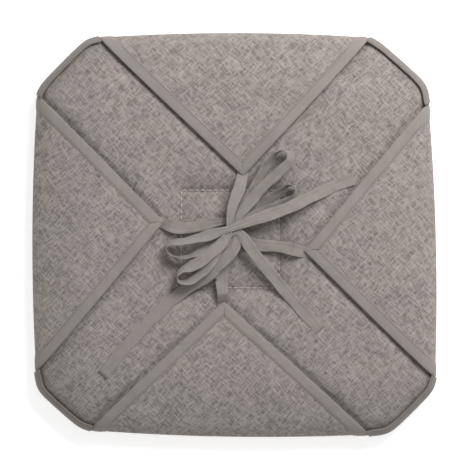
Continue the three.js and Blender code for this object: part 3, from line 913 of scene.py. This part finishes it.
def corner_end(corner, flap):
    """The angle of the end of this flap that is nearer to the corner."""
    wanted = {"top_left": 135, "top_right": 45, "bottom_right": -45, "bottom_left": -135}[corner]
    angles = [math.degrees(a) for a in flap_points(flap)[1:]]
    return math.radians(min(angles, key=lambda a: abs((a - wanted + 180) % 360 - 180)))


# ---------------------------------------------------------------- quilting

class SEATPAD_OT_quilting(bpy.types.Operator):
    """Make the lockstitches of the quilted square, on both faces"""
    bl_idname = "seat_pad.quilting"
    bl_label = "Quilting"

    def execute(self, context):
        share = np.linspace(-1, 1, 300)
        edge = np.ones(300)
        x = np.concatenate([share, edge, -share, -edge]) * QUILT_HALF + QUILT_CENTRE[0]
        y = np.concatenate([edge, -share, -edge, share]) * QUILT_HALF + QUILT_CENTRE[1]
        top = on_pad(x, y, CLOTH_LAY, RELIEF["pad"](x, y))
        pad = bpy.data.objects["quilted_pad"]
        for name, slot_node, direction in (("underside", "quilting_thread_underside", 1),
                                           ("seat", "quilting_thread_seat", -1)):
            line = top.copy()
            line[:, 2] = heights_under(pad, x, y, direction) + direction * 0.25 * MM
            obj = stitches(f"quilting_stitches_{name}", line, 5.4 * MM, 4.3 * MM, 0.46 * MM)
            if direction < 0:
                points = read_points(obj.data)
                points[:, 2] = np.maximum(points[:, 2], 0.1 * MM)
                obj.data.vertices.foreach_set("co", points.astype(np.float32).ravel())
            finish_piece(obj, materials()["Quilting thread"], [slot_node])
            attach(obj, "pad")
        return {"FINISHED"}


def heights_under(obj, x, y, direction):
    """The heights of a pad's face along a line: the mean of the eight nearest of its vertices on that side."""
    points = read_points(obj.data)
    points = points[(points[:, 2] > SEAM) == (direction > 0)]
    near = points[quilt_distance(points[:, 0], points[:, 1]) < 3 * MM]
    gap = (near[None, :, 0] - x[:, None]) ** 2 + (near[None, :, 1] - y[:, None]) ** 2
    nearest = np.argpartition(gap, 8, axis=1)[:, :8]
    found = near[nearest, 2].mean(1)
    return np.convolve(np.pad(found, 6, mode="wrap"), np.ones(13) / 13, mode="valid")


# ---------------------------------------------------------------- stage

class SEATPAD_OT_stage(bpy.types.Operator):
    """Make the pale floor, the soft lights and the camera straight above the pad"""
    bl_idname = "seat_pad.stage"
    bl_label = "Stage"

    def execute(self, context):
        scene = context.scene
        floor = new_object("floor", np.array([(-3, -3, 0), (3, -3, 0), (3, 3, 0), (-3, 3, 0)], float),
                           [[0, 1, 2, 3]])
        paper = bpy.data.materials.new("Pale floor")
        paper.use_nodes = True
        shader = paper.node_tree.nodes["Principled BSDF"]
        shader.inputs["Base Color"].default_value = (0.96, 0.96, 0.96, 1)
        shader.inputs["Roughness"].default_value = 0.9
        shader.inputs["Emission Color"].default_value = (1, 1, 1, 1)
        shader.inputs["Emission Strength"].default_value = 0.55
        floor.data.materials.append(paper)
        world = bpy.data.worlds.new("Soft room")
        world.use_nodes = True
        world.node_tree.nodes["Background"].inputs["Color"].default_value = (1, 1, 1, 1)
        world.node_tree.nodes["Background"].inputs["Strength"].default_value = 0.44
        scene.world = world
        self.light(scene, "key", (0.40, 0.60, 0.85), 0.50, 9.8)
        scene.view_settings.view_transform = "Standard"
        lens = bpy.data.cameras.new("camera")
        lens.lens = 154.3
        lens.sensor_width = 36
        lens.clip_start = 0.05
        camera = bpy.data.objects.new("camera", lens)
        camera.location = (0.0009, -0.0004, 1.8)
        scene.collection.objects.link(camera)
        scene.camera = camera
        return {"FINISHED"}

    def light(self, scene, name, place, size, power):
        """A square area light that faces the pad."""
        from mathutils import Vector
        data = bpy.data.lights.new(name, "AREA")
        data.size = size
        data.energy = power
        obj = bpy.data.objects.new(name, data)
        obj.location = place
        obj.rotation_euler = Vector(place).to_track_quat("Z", "Y").to_euler()
        scene.collection.objects.link(obj)


# ---------------------------------------------------------------- add-on

class SeatPadLook(bpy.types.PropertyGroup):
    """The sizes and colours of the seat pad"""
    tape_width: FloatProperty(name="Tape width", description="Width of the ties", default=10.2 * MM,
                              subtype="DISTANCE", unit="LENGTH")
    tape_thickness: FloatProperty(name="Tape thickness", description="Thickness of the folded, sewn ties",
                                  default=0.95 * MM, subtype="DISTANCE", unit="LENGTH")
    binding_width: FloatProperty(name="Binding width", description="Width of the folded binding on the flaps",
                                 default=10 * MM, subtype="DISTANCE", unit="LENGTH")
    cloth_colour: FloatVectorProperty(name="Cloth", description="Colour of the linen-weave cloth",
                                      default=(0.279, 0.246, 0.226), subtype="COLOR", min=0, max=1)
    tape_colour: FloatVectorProperty(name="Tape", description="Colour of the bindings and ties",
                                     default=(0.284, 0.251, 0.229), subtype="COLOR", min=0, max=1)
    thread_colour: FloatVectorProperty(name="Thread", description="Colour of the quilting thread",
                                       default=(0.58, 0.52, 0.46), subtype="COLOR", min=0, max=1)


class SEATPAD_PT_panel(bpy.types.Panel):
    """Lists the pad's sizes, colours and pieces"""
    bl_label = "Seat pad"
    bl_idname = "SEATPAD_PT_panel"
    bl_space_type = "VIEW_3D"
    bl_region_type = "UI"
    bl_category = "Seat Pad"

    def draw(self, context):
        look = context.scene.seat_pad_look
        for name in look.__annotations__:
            self.layout.prop(look, name)
        for operator in OPERATORS:
            self.layout.operator(operator.bl_idname)


OPERATORS = (SEATPAD_OT_stage, SEATPAD_OT_pad, SEATPAD_OT_flaps, SEATPAD_OT_bindings, SEATPAD_OT_ties,
             SEATPAD_OT_corners, SEATPAD_OT_quilting)
CLASSES = (SeatPadLook, *OPERATORS, SEATPAD_PT_panel)


def register():
    for cls in CLASSES:
        bpy.utils.register_class(cls)
    bpy.types.Scene.seat_pad_look = PointerProperty(type=SeatPadLook)


def unregister():
    del bpy.types.Scene.seat_pad_look
    for cls in reversed(CLASSES):
        bpy.utils.unregister_class(cls)


def main():
    register()
    bpy.ops.seat_pad.stage()
    bpy.ops.seat_pad.pad()
    bpy.ops.seat_pad.flaps()
    bpy.ops.seat_pad.bindings()
    bpy.ops.seat_pad.ties()
    bpy.ops.seat_pad.corners()
    bpy.ops.seat_pad.quilting()


if __name__ == "__main__":
    main()
